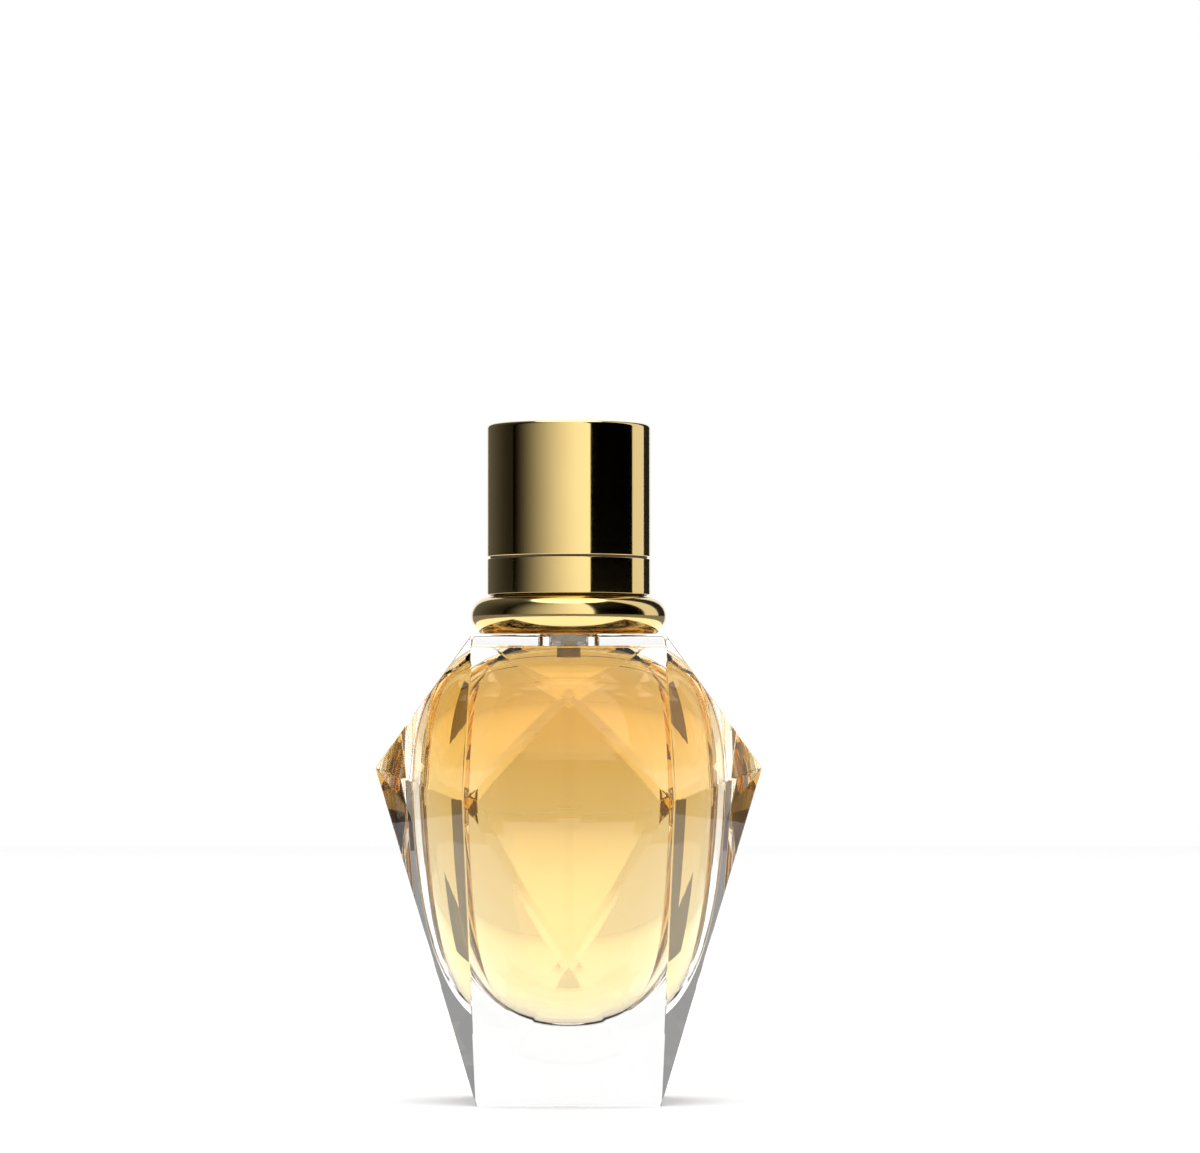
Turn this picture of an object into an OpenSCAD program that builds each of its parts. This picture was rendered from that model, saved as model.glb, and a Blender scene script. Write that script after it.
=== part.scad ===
// Faceted glass perfume bottle with a crimped spray pump and a pull-off metal cap.
// Units are millimetres. +Z is up, the spray leaves along -Y, and the origin is the
// middle of the foot, on the surface that the bottle stands on.

/* [Glass body] */
// Width between the two side points
body_w = 58; // [50:0.5:70]
// Depth between the front and back main facets
body_d = 34.5; // [32:0.5:42]
// Height of the glass from the foot to the table under the collar
body_h = 69.6; // [58:0.2:84]
// Width of the square table that the collar sits on
table_w = 28.4; // [27:0.2:34]
// Width of the square foot
foot_w = 27.2; // [22:0.2:32]
// Distance from the table down to the top corner of the main facet
kite_top_drop = 9.9; // [8:0.1:12]
// Distance from the table down to the two side points
point_drop = 19.7; // [16:0.1:24]
// Distance from the table down to the side corners of the main facet
kite_side_drop = 24.8; // [20:0.1:30]
// Height of the bottom corner of the main facet above the foot
kite_foot_z = 20.6; // [16:0.1:25]
// Width of the main facet between its side corners
kite_w = 31.2; // [28:0.2:37]
// Height of the upright band along the front and back of the table
band_h = 1.95; // [1:0.05:2.4]
// Depth that the upright band is set back from the table's edge
band_set = 0.15; // [0.05:0.05:0.3]

/* [Glass cavity] */
// Glass thickness behind the main facet
front_wall = 4.5; // [3:0.1:6]
// Glass thickness at the side points
point_wall = 9.2; // [7:0.1:12]
// Glass thickness of the floor
floor_wall = 12; // [8:0.1:15]
// Glass thickness over the cavity's shoulder
roof_wall = 2; // [1.4:0.1:2.6]
// Distance from the table down to the cavity's widest level
cavity_mid_drop = 20.5; // [18:0.5:26]
// How full the cavity's corners are; 2 is an ellipse
cavity_power = 2.5; // [2:0.1:2.6]
// Depth of the hollow under the foot
punt_h = 1; // [0.5:0.1:2]
// Radius of the hollow under the foot
punt_r = 9.5; // [6:0.1:10.5]
// Distance from the table down to the surface of the perfume
fill_drop = 2.5; // [2.3:0.1:7]

/* [Neck] */
// Radius of the crimping bead at the top of the neck
neck_bead_r = 7.4; // [7.2:0.05:9]
// How far the neck goes in below its bead
neck_undercut = 0.8; // [0.6:0.05:1]
// Height of the crimping bead
neck_bead_h = 3.8; // [3.2:0.1:4.2]
// Height of the whole neck above the table
neck_h = 9.2; // [8.8:0.1:11.2]
// Radius of the bore through the neck
bore_r = 4.6; // [4.5:0.05:5]

/* [Pump] */
// Travel of the actuator
stroke = 3; // [2.4:0.1:3.6]
// Thickness of the sealing washer
gasket_t = 0.9; // [0.6:0.05:1.2]
// Thickness of the housing's flange
flange_t = 0.8; // [0.6:0.05:1]
// Sheet thickness of the ferrule
ferrule_t = 0.4; // [0.3:0.05:0.5]
// Outer radius of the pump housing
housing_r = 4.2; // [4:0.05:4.4]
// Radius of the pump chamber
chamber_r = 2.95; // [2.7:0.05:3.1]
// Wire diameter of the return spring
spring_wire = 0.35; // [0.3:0.05:0.45]
// Number of turns of the return spring
spring_turns = 4; // [3:1:6]
// Length of the piston
piston_l = 1.5; // [1.4:0.1:2]
// Outer radius of the stem
stem_r = 1.6; // [1.4:0.05:1.8]
// Radius of the bore through the stem
stem_bore_r = 0.6; // [0.4:0.05:0.8]
// Radius of the inlet ball
ball_r = 0.7; // [0.6:0.05:0.8]
// Distance that the inlet ball lifts off its seat
ball_lift = 0.4; // [0.3:0.05:0.5]
// Outer radius of the dip tube
tube_r = 0.9; // [0.8:0.05:1.1]
// Wall of the dip tube
tube_wall = 0.3; // [0.2:0.05:0.4]
// Gap between the dip tube and the cavity's floor
tube_end_gap = 1.4; // [1:0.1:3]

/* [Actuator] */
// Outer radius of the actuator
button_r = 6.6; // [6:0.1:7.2]
// Height of the actuator
button_h = 8.9; // [8:0.1:10]
// Sheet thickness of the actuator's metal sleeve
button_sheet = 0.4; // [0.3:0.05:0.5]
// Radius of the nozzle insert
nozzle_r = 1.8; // [1.5:0.1:2.2]
// Length of the nozzle insert
nozzle_l = 2.4; // [2:0.1:3]
// Radius of the spray orifice
orifice_r = 0.2; // [0.15:0.05:0.3]

/* [Collar] */
// Outer radius of the rounded ring
ring_r = 14.65; // [14:0.05:17]
// Height of the rounded ring
ring_h = 5.8; // [5:0.1:6.4]
// Height of the plain band above the rounded ring
band_sleeve_h = 5.4; // [4.6:0.1:6.4]
// Shadow gap between the ring, the band and the cap
shadow_gap = 0.3; // [0.15:0.05:0.4]
// Wall of the carrier round the ferrule
carrier_wall = 1.4; // [1.2:0.05:1.6]
// Wall of the chimney that the cap grips
chimney_wall = 1.4; // [1.1:0.05:1.5]
// Height of the chimney above the band
chimney_h = 4; // [3.6:0.1:5]

/* [Cap] */
// Distance from the chimney out to the cap's surface, which the band below it shares
cap_room = 2.7; // [2.4:0.05:3.4]
// Space between the actuator and the cap's ceiling
head_room = 5.95; // [4.4:0.05:8]
// Sheet thickness of the cap's metal shell
cap_sheet = 0.5; // [0.4:0.05:0.7]
// Radius of the cap's top edge
cap_edge_r = 0.6; // [0.3:0.05:0.9]
// Wall of the cap's inner cup
liner_wall = 0.8; // [0.6:0.05:0.9]
// Thickness of the inner cup's top
liner_top = 1.6; // [1:0.1:2]
// Height of the weight ring in the cap
weight_h = 12; // [8:0.5:13]

/* [Hidden] */

// Clearances and the small sizes of the pump
run_gap = 0.03;          // a stem in its guide, or an actuator on its stem
slide_gap = 0.06;        // the cap's grip on the chimney
fit_gap = 0.05;          // pieces that are assembled once
cut = 1;                 // how far a cutting shape runs past a face
lip_h = 0.6;             // depth of the crimp under the neck's bead
seal_t = 0.6;            // thickness of the seal round the stem
guide_l = 1.6;           // length of the plug that guides the stem
head_t = 0.5;            // thickness of the stem's head, which carries the piston
head_gap = 0.35;         // space round the stem's head and the spring
spring_spare = 0.25;     // what is left between the turns when the pump is pressed
cage_t = 0.5;            // thickness of the ring that keeps the ball in
ball_side_gap = 0.15;    // space round the ball
seat_gap = 0.01;         // the resting ball's clearance from its cone
seat_floor = 0.5;        // thickness of the floor under the cone
seat_hole_r = 0.45;      // the inlet under the ball
socket_l = 3;            // length of the dip tube's socket
socket_wall = 0.9;       // wall of the dip tube's socket
stem_in_button = 3.4;    // length of stem inside the actuator
sleeve_foot = 0.3;       // how far the actuator's core shows below its sleeve
chimney_step = 0.3;      // how far the chimney stands out from the carrier
flange_set = 1;          // how far the carrier's flange stays inside the band

// Levels, from the table up
lip_z = body_h + neck_h;
gasket_z = lip_z + gasket_t;
flange_z = gasket_z + flange_t;
ferrule_z = flange_z + ferrule_t;
neck_r = neck_bead_r - neck_undercut;
ferrule_r = neck_bead_r + fit_gap + ferrule_t;
carrier_r = ferrule_r + fit_gap + carrier_wall;
chimney_r = carrier_r + chimney_step;
cap_r = chimney_r + cap_room;
ring_z = body_h + ring_h;
band_z = ring_z + shadow_gap;
land_z = band_z + band_sleeve_h;
chimney_z = land_z + chimney_h;
button_z = ferrule_z + stroke + 0.4;
button_top_z = button_z + button_h;
cap_z = land_z + shadow_gap;
liner_ceiling_z = button_top_z + head_room;
liner_top_z = liner_ceiling_z + liner_top;
cap_top_z = liner_top_z + fit_gap + cap_sheet;

// Levels of the pump, from the spring's seat up
piston_z = flange_z - guide_l - seal_t - piston_l - fit_gap;
head_z = piston_z - head_t;
spring_l = stroke + (spring_turns + 1) * spring_wire + spring_spare;
spring_z = head_z - spring_l;
ball_z = spring_z - cage_t - ball_lift - ball_r;
seat_z = ball_z - sqrt(2) * (ball_r + seat_gap) + seat_hole_r;
tube_top_z = seat_z - seat_floor;
socket_z = tube_top_z - socket_l;
stem_top_z = button_z + stem_in_button;

// Levels of the glass and its cavity
kite_top_z = body_h - kite_top_drop;
kite_side_z = body_h - kite_side_drop;
point_z = body_h - point_drop;
cavity_top_z = body_h - roof_wall;
cavity_mid_z = body_h - cavity_mid_drop;
cavity_a = body_w / 2 - point_wall;
cavity_b = body_d / 2 - front_wall;
fill_z = body_h - fill_drop;
tube_end_z = floor_wall + tube_end_gap;

glass_color = [0.93, 0.95, 0.94, 0.35];
juice_color = [0.93, 0.68, 0.22, 0.8];
gold_color = [0.83, 0.66, 0.30];
steel_color = [0.75, 0.76, 0.78];
clear_plastic = [0.9, 0.92, 0.93, 0.6];
white_plastic = [0.93, 0.93, 0.91];
dark_plastic = [0.12, 0.11, 0.1];

// A tube from z0 to z1
module tube(r_out, r_in, z0, z1) {
    translate([0, 0, z0]) difference() {
        cylinder(r = r_out, h = z1 - z0, $fn = 96);
        translate([0, 0, -cut]) cylinder(r = r_in, h = z1 - z0 + 2 * cut, $fn = 96);
    }
}

// A solid of revolution from [radius, height] points
module lathe(points) {
    rotate_extrude($fn = 96) polygon(points);
}

// Corners of the faceted body: table, foot, main facets and side points
function gem_points() = concat(
    [for (x = [-1, 1], y = [-1, 1]) [x * table_w / 2, y * table_w / 2, body_h]],
    [for (x = [-1, 1], y = [-1, 1]) [x * foot_w / 2, y * foot_w / 2, 0]],
    [for (x = [-1, 1], y = [-1, 1]) [x * kite_w / 2, y * body_d / 2, kite_side_z]],
    [for (y = [-1, 1], z = [kite_top_z, kite_foot_z]) [0, y * body_d / 2, z]],
    [for (x = [-1, 1]) [x * body_w / 2, 0, point_z]]
);

module gem() {
    points = gem_points();
    hull() polyhedron(points, [for (i = [0:len(points) - 3]) [i, i + 1, i + 2]]);
}

// A rounded egg: a superellipsoid whose upper half is shorter than its lower half
module egg(shrink) {
    rings = 18;
    sides = 48;
    up = cavity_top_z - cavity_mid_z - shrink;
    down = cavity_mid_z - floor_wall - shrink;
    a = cavity_a - shrink;
    b = cavity_b - shrink;
    function rounded(c) = sign(c) * pow(abs(c), 2 / cavity_power);
    function ring_point(lat, lon) = [
        a * rounded(cos(lat)) * rounded(cos(lon)),
        b * rounded(cos(lat)) * rounded(sin(lon)),
        cavity_mid_z + (lat < 0 ? down : up) * rounded(sin(lat))
    ];
    latitudes = [for (i = [1:rings - 1]) -90 + 180 * i / rings];
    points = concat(
        [[0, 0, cavity_mid_z - down]],
        [for (lat = latitudes, j = [0:sides - 1]) ring_point(lat, 360 * j / sides)],
        [[0, 0, cavity_mid_z + up]]
    );
    last = len(points) - 1;
    function at(i, j) = 1 + i * sides + j % sides;
    faces = concat(
        [for (j = [0:sides - 1]) [0, at(0, j), at(0, j + 1)]],
        [for (i = [0:rings - 3], j = [0:sides - 1])
            [at(i, j), at(i + 1, j), at(i + 1, j + 1), at(i, j + 1)]],
        [for (j = [0:sides - 1]) [last, at(rings - 2, j + 1), at(rings - 2, j)]]
    );
    polyhedron(points, faces);
}

// The upright bands are cut along the table's front and back edges
module band_cuts() {
    for (side = [-1, 1])
        translate([
            -body_w / 2,
            side > 0 ? table_w / 2 - band_set : -table_w / 2 + band_set - body_d,
            body_h - band_h
        ]) cube([body_w, body_d, band_h + cut]);
}

module punt() {
    sphere_r = (punt_r * punt_r + punt_h * punt_h) / (2 * punt_h);
    translate([0, 0, punt_h - sphere_r]) sphere(r = sphere_r, $fn = 96);
}

module neck() {
    lathe([
        [0, body_h - cut], [neck_r, body_h - cut], [neck_r, lip_z - neck_bead_h - neck_undercut],
        [neck_bead_r, lip_z - neck_bead_h], [neck_bead_r, lip_z], [0, lip_z]
    ]);
}

module glass_bottle() {
    color(glass_color) difference() {
        union() {
            difference() {
                gem();
                band_cuts();
            }
            neck();
        }
        egg(0);
        translate([0, 0, cavity_mid_z]) cylinder(r = bore_r, h = body_h, $fn = 96);
        punt();
    }
}

module perfume() {
    color(juice_color) difference() {
        egg(fit_gap);
        translate([-body_w, -body_w, fill_z]) cube([2 * body_w, 2 * body_w, body_h]);
        translate([0, 0, tube_top_z - fit_gap])
            cylinder(r = housing_r + fit_gap, h = body_h, $fn = 96);
        translate([0, 0, socket_z - fit_gap])
            cylinder(r = tube_r + socket_wall + fit_gap, h = body_h, $fn = 96);
        translate([0, 0, tube_end_z - tube_r - fit_gap])
            cylinder(r = tube_r + fit_gap, h = body_h, $fn = 96);
    }
}

module neck_gasket() {
    color("dimgray") tube(neck_bead_r, housing_r + fit_gap, lip_z, gasket_z);
}

// Drawn cup with its lower edge crimped in under the neck's bead
module ferrule() {
    inner = neck_bead_r + fit_gap;
    bead_z = lip_z - neck_bead_h;
    top_hole = chamber_r - 0.4;
    color(steel_color) lathe([
        [neck_r + fit_gap + lip_h / 2, bead_z - lip_h - ferrule_t],
        [inner + ferrule_t, bead_z - fit_gap],
        [inner + ferrule_t, ferrule_z], [top_hole, ferrule_z], [top_hole, flange_z],
        [inner, flange_z], [inner, bead_z],
        [neck_r + fit_gap + lip_h / 2, bead_z - lip_h]
    ]);
}

module pump_housing() {
    floor_z = spring_z - cage_t;
    socket_r = tube_r + socket_wall;
    ball_room_r = ball_r + ball_side_gap;
    // Anticlockwise from the inlet: socket, outer wall, flange, chamber, the ball's room and cone
    color(clear_plastic) lathe([
        [seat_hole_r, tube_top_z], [tube_r, tube_top_z], [tube_r, socket_z],
        [socket_r, socket_z], [socket_r, tube_top_z], [housing_r, tube_top_z],
        [housing_r, gasket_z], [neck_bead_r, gasket_z], [neck_bead_r, flange_z],
        [chamber_r, flange_z], [chamber_r, floor_z], [ball_room_r, floor_z],
        [ball_room_r, seat_z + ball_room_r - seat_hole_r], [seat_hole_r, seat_z]
    ]);
}

// Ring with a narrow hole that keeps the ball in its chamber and carries the spring
module ball_cage() {
    color(white_plastic) tube(chamber_r - fit_gap, ball_r * 0.6, spring_z - cage_t, spring_z);
}

module inlet_ball() {
    color(steel_color) translate([0, 0, ball_z]) sphere(r = ball_r, $fn = 96);
}

module dip_tube() {
    color(clear_plastic) difference() {
        tube(tube_r, tube_r - tube_wall, tube_end_z - tube_r, tube_top_z);
        translate([0, 0, tube_end_z]) rotate([45, 0, 0])
            translate([-2 * tube_r, -4 * tube_r, -4 * tube_r])
                cube([4 * tube_r, 8 * tube_r, 4 * tube_r]);
    }
}

// One closed wire swept along a helix, with a ring of points at each step
module return_spring() {
    wire_sides = 8;
    steps = 20 * spring_turns;
    helix_r = chamber_r - head_gap - spring_wire / 2;
    rise = spring_l - spring_wire - 2 * fit_gap;
    start_z = spring_z + spring_wire / 2 + fit_gap;
    function wire_point(i, k) =
        let (turn = 360 * spring_turns * i / steps,
             around = 360 * k / wire_sides,
             r = helix_r + spring_wire / 2 * cos(around))
        [r * cos(turn), r * sin(turn),
         start_z + rise * i / steps + spring_wire / 2 * sin(around)];
    points = [for (i = [0:steps], k = [0:wire_sides - 1]) wire_point(i, k)];
    function at(i, k) = i * wire_sides + k % wire_sides;
    faces = concat(
        [[for (k = [0:wire_sides - 1]) at(0, k)]],
        [for (i = [0:steps - 1], k = [0:wire_sides - 1])
            [at(i, k), at(i + 1, k), at(i + 1, k + 1), at(i, k + 1)]],
        [[for (k = [wire_sides - 1:-1:0]) at(steps, k)]]
    );
    color(steel_color) polyhedron(points, faces);
}

// Piston with two sealing skirts; it stands on the stem's head and covers the side holes
module piston() {
    r = chamber_r - run_gap;
    skirt = 0.5;
    bevel = 0.2;
    color(white_plastic) lathe([
        [stem_r, piston_z], [r - bevel, piston_z], [r, piston_z + bevel],
        [r, piston_z + skirt], [chamber_r - skirt, piston_z + piston_l / 2],
        [r, piston_z + piston_l - skirt], [r, piston_z + piston_l], [stem_r, piston_z + piston_l]
    ]);
}

// Hollow stem with a head under the piston and a side hole behind it
module stem() {
    side_hole_z = piston_z + 0.5;
    side_hole_r = stem_bore_r / 2;
    color(white_plastic) difference() {
        union() {
            translate([0, 0, head_z]) cylinder(r = stem_r, h = stem_top_z - head_z, $fn = 96);
            translate([0, 0, head_z]) cylinder(r = chamber_r - head_gap, h = head_t, $fn = 96);
        }
        translate([0, 0, side_hole_z - stem_bore_r])
            cylinder(r = stem_bore_r, h = body_h, $fn = 96);
        translate([0, 0, side_hole_z]) rotate([90, 0, 0])
            translate([0, 0, -body_w / 2]) cylinder(r = side_hole_r, h = body_w, $fn = 48);
    }
}

module stem_seal() {
    z = piston_z + piston_l + fit_gap;
    color("dimgray") tube(chamber_r - fit_gap, stem_r + run_gap, z, z + seal_t);
}

module stem_guide() {
    color(white_plastic)
        tube(chamber_r - fit_gap, stem_r + run_gap, flange_z - guide_l, flange_z);
}

// Moulded carrier: it grips the ferrule, holds the ring and the band, and ends in the chimney
module collar_carrier() {
    inner = ferrule_r + fit_gap;
    foot = carrier_r;
    flange_r = cap_r - flange_set;
    hook = 0.8;
    color(gold_color) lathe([
        [inner, body_h], [foot, body_h], [foot, ring_z], [flange_r, ring_z], [flange_r, band_z],
        [foot, band_z], [foot, land_z], [chimney_r, land_z], [chimney_r, chimney_z - 0.4],
        [chimney_r - 0.4, chimney_z], [chimney_r - chimney_wall, chimney_z],
        [chimney_r - chimney_wall, ferrule_z + 0.6], [inner - hook, ferrule_z + 0.6],
        [inner - hook, ferrule_z], [inner, ferrule_z]
    ]);
}

// Rounded ring: half a circle outside, flat where it meets the glass and the carrier
module collar_ring() {
    inner = carrier_r + fit_gap;
    bead_r = ring_h / 2;
    mid_r = ring_r - bead_r;
    mid_z = body_h + bead_r;
    color(gold_color) rotate_extrude($fn = 96) union() {
        intersection() {
            translate([mid_r, mid_z]) circle(r = bead_r, $fn = 96);
            translate([mid_r, body_h]) square([bead_r, ring_h]);
        }
        translate([inner, body_h]) square([mid_r - inner, ring_h]);
    }
}

// Plain sleeve with a flat land at the top for the cap
module collar_band() {
    sheet = cap_sheet;
    inner = chimney_r + fit_gap;
    color(gold_color) lathe([
        [cap_r - sheet, band_z], [cap_r, band_z], [cap_r, land_z], [inner, land_z],
        [inner, land_z - sheet], [cap_r - sheet, land_z - sheet]
    ]);
}

nozzle_z = button_z + button_h * 0.62;

module actuator_core() {
    r = button_r - button_sheet - fit_gap;
    color(white_plastic) difference() {
        translate([0, 0, button_z])
            cylinder(r = r, h = button_h - button_sheet - fit_gap, $fn = 96);
        // Socket for the stem, the channel above it and the nozzle's seat
        translate([0, 0, button_z - cut])
            cylinder(r = stem_r + run_gap, h = stem_in_button + fit_gap + cut, $fn = 96);
        translate([0, 0, button_z])
            cylinder(r = stem_bore_r, h = nozzle_z - button_z, $fn = 48);
        translate([0, 0, nozzle_z]) rotate([90, 0, 0]) {
            cylinder(r = stem_bore_r, h = button_r, $fn = 48);
            translate([0, 0, button_r - nozzle_l - fit_gap])
                cylinder(r = nozzle_r, h = nozzle_l + cut, $fn = 96);
        }
        // Hollow underside round the socket
        difference() {
            translate([0, 0, button_z - cut]) cylinder(r = r - 1, h = 2.2 + cut, $fn = 96);
            translate([0, 0, button_z - cut]) cylinder(r = stem_r + 1.2, h = 6, $fn = 96);
        }
    }
}

// Drawn metal sleeve with a closed top and a hole for the nozzle
module actuator_sleeve() {
    r = button_r;
    color(gold_color) difference() {
        lathe([
            [r - button_sheet, button_z + sleeve_foot], [r, button_z + sleeve_foot],
            [r, button_top_z - 0.4], [r - 0.4, button_top_z], [0, button_top_z],
            [0, button_top_z - button_sheet], [r - button_sheet, button_top_z - button_sheet]
        ]);
        translate([0, 0, nozzle_z]) rotate([90, 0, 0])
            cylinder(r = nozzle_r + fit_gap, h = 2 * button_r, $fn = 96);
    }
}

// Swirl cup with the orifice in its face
module nozzle_insert() {
    color(white_plastic) translate([0, 0, nozzle_z]) rotate([90, 0, 0])
        translate([0, 0, button_r - nozzle_l]) difference() {
            cylinder(r = nozzle_r - fit_gap / 2, h = nozzle_l, $fn = 96);
            translate([0, 0, -cut]) cylinder(r = nozzle_r - 0.6, h = nozzle_l - 0.5 + cut, $fn = 96);
            cylinder(r = orifice_r, h = nozzle_l + cut, $fn = 48);
            translate([0, 0, nozzle_l - 0.3])
                cylinder(r1 = orifice_r, r2 = orifice_r + 0.4, h = 0.3 + fit_gap, $fn = 48);
        }
}

// Drawn shell, closed at the top, with a small radius on its edge
module cap_shell() {
    r = cap_r;
    cap_h = cap_top_z - cap_z;
    e = cap_edge_r;
    color(gold_color) rotate_extrude($fn = 96) difference() {
        union() {
            translate([0, cap_z]) square([r, cap_h - e]);
            translate([0, cap_z]) square([r - e, cap_h]);
            translate([r - e, cap_top_z - e]) circle(r = e, $fn = 64);
        }
        translate([-cut, cap_z - cut]) square([r - cap_sheet + cut, cap_h - cap_sheet + cut]);
    }
}

liner_out_r = chimney_r + slide_gap + liner_wall;
weight_z = cap_z + 2.4;

// Moulded cup that fills the shell; its foot flange and its top plate hold the weight ring
module cap_liner() {
    out_r = cap_r - cap_sheet - fit_gap;
    inner = chimney_r + slide_gap;
    color(dark_plastic) lathe([
        [inner, land_z], [out_r, land_z], [out_r, weight_z], [liner_out_r, weight_z],
        [liner_out_r, liner_ceiling_z], [out_r, liner_ceiling_z], [out_r, liner_top_z],
        [0, liner_top_z], [0, liner_ceiling_z], [inner, liner_ceiling_z],
        [inner, chimney_z - 1.2], [inner + 0.35, chimney_z - 1.2],
        [inner + 0.35, chimney_z - 2.6], [inner, chimney_z - 2.6]
    ]);
}

// Spring ring that lies in the cup's groove and grips the chimney
module cap_grip_ring() {
    inner = chimney_r + slide_gap / 2;
    color(steel_color)
        tube(chimney_r + slide_gap + 0.33, inner, chimney_z - 2.5, chimney_z - 1.3);
}

module cap_weight() {
    color(steel_color) tube(
        cap_r - cap_sheet - fit_gap, liner_out_r + fit_gap, weight_z,
        min(weight_z + weight_h, liner_ceiling_z)
    );
}

glass_bottle();
perfume();
neck_gasket();
ferrule();
pump_housing();
stem_guide();
stem_seal();
piston();
stem();
return_spring();
inlet_ball();
ball_cage();
dip_tube();
collar_carrier();
collar_ring();
collar_band();
actuator_core();
actuator_sleeve();
nozzle_insert();
cap_shell();
cap_weight();
cap_liner();
cap_grip_ring();
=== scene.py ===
"""Looks of a faceted glass perfume bottle with a gold collar, a spray pump and a pull-off cap.

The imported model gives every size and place. This script dresses it: it builds the cut glass,
the perfume and the turned metal and moulded pieces in finer form, gives each piece its finish,
and sets up a pale studio.
"""

import logging
import math
from dataclasses import dataclass, field
from enum import Enum
from typing import Callable, Iterable, Optional, Sequence, Union

import bmesh
import bpy
from mathutils import Matrix, Vector


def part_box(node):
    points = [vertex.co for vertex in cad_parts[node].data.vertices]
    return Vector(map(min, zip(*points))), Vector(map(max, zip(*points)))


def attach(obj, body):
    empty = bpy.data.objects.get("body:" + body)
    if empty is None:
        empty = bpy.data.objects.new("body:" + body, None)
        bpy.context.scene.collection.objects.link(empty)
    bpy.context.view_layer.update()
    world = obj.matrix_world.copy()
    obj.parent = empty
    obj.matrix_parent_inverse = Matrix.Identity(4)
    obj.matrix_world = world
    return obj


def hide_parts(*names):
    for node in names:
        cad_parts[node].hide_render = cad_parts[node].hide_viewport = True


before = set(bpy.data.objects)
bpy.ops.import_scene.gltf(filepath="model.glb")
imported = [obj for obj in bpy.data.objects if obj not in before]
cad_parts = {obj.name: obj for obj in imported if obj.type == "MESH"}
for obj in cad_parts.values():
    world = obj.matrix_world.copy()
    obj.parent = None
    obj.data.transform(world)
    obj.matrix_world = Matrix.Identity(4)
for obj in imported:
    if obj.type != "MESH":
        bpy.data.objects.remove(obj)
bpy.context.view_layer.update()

log = logging.getLogger("perfume_bottle")

MM = 0.001
MERGE = 1e-7
SPIN_STEPS = 144
FULL_TURN = 2 * math.pi

Colour = tuple[float, float, float]
Number = Union[int, float]


class Axis(Enum):
    """An axis that a finish runs along."""

    X = 0
    Y = 1
    Z = 2


# ---------------------------------------------------------------------------
# Shader graph
# ---------------------------------------------------------------------------


class Value:
    """A node's output socket that takes part in arithmetic."""

    def __init__(self, graph: "Graph", socket: bpy.types.NodeSocket) -> None:
        """Wraps a socket.

        Args:
            graph: The graph that the socket belongs to.
            socket: The output socket.
        """
        self.graph = graph
        self.socket = socket

    def _math(self, operation: str, *terms: Union["Value", Number]) -> "Value":
        """Adds a Math node.

        Args:
            operation: The Math node's operation.
            terms: The node's inputs, in order.

        Returns:
            The result.
        """
        values = dict(enumerate(terms))
        return self.graph.node("ShaderNodeMath", {"operation": operation}, values).out()

    def __add__(self, other: Union["Value", Number]) -> "Value":
        """Returns self + other."""
        return self._math("ADD", self, other)

    __radd__ = __add__

    def __sub__(self, other: Union["Value", Number]) -> "Value":
        """Returns self - other."""
        return self._math("SUBTRACT", self, other)

    def __rsub__(self, other: Number) -> "Value":
        """Returns other - self."""
        return self._math("SUBTRACT", other, self)

    def __mul__(self, other: Union["Value", Number]) -> "Value":
        """Returns self * other."""
        return self._math("MULTIPLY", self, other)

    __rmul__ = __mul__

    def ramp(self, low: float, high: float, to_low: float = 0.0, to_high: float = 1.0) -> "Value":
        """Maps a span of values smoothly onto another.

        Args:
            low: The value that becomes to_low.
            high: The value that becomes to_high.
            to_low: The result at and below low.
            to_high: The result at and above high.

        Returns:
            The mapped value.
        """
        values = {"Value": self, "From Min": low, "From Max": high,
                  "To Min": to_low, "To Max": to_high}
        settings = {"interpolation_type": "SMOOTHSTEP"}
        return self.graph.node("ShaderNodeMapRange", settings, values).out("Result")


class Node:
    """A shader node whose outputs are read as values."""

    def __init__(self, graph: "Graph", node: bpy.types.Node) -> None:
        """Wraps a node.

        Args:
            graph: The graph that the node belongs to.
            node: The node.
        """
        self.graph = graph
        self.node = node

    def out(self, name: Union[str, int] = 0) -> Value:
        """Returns one of the node's outputs, by name or number."""
        return Value(self.graph, self.node.outputs[name])


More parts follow.
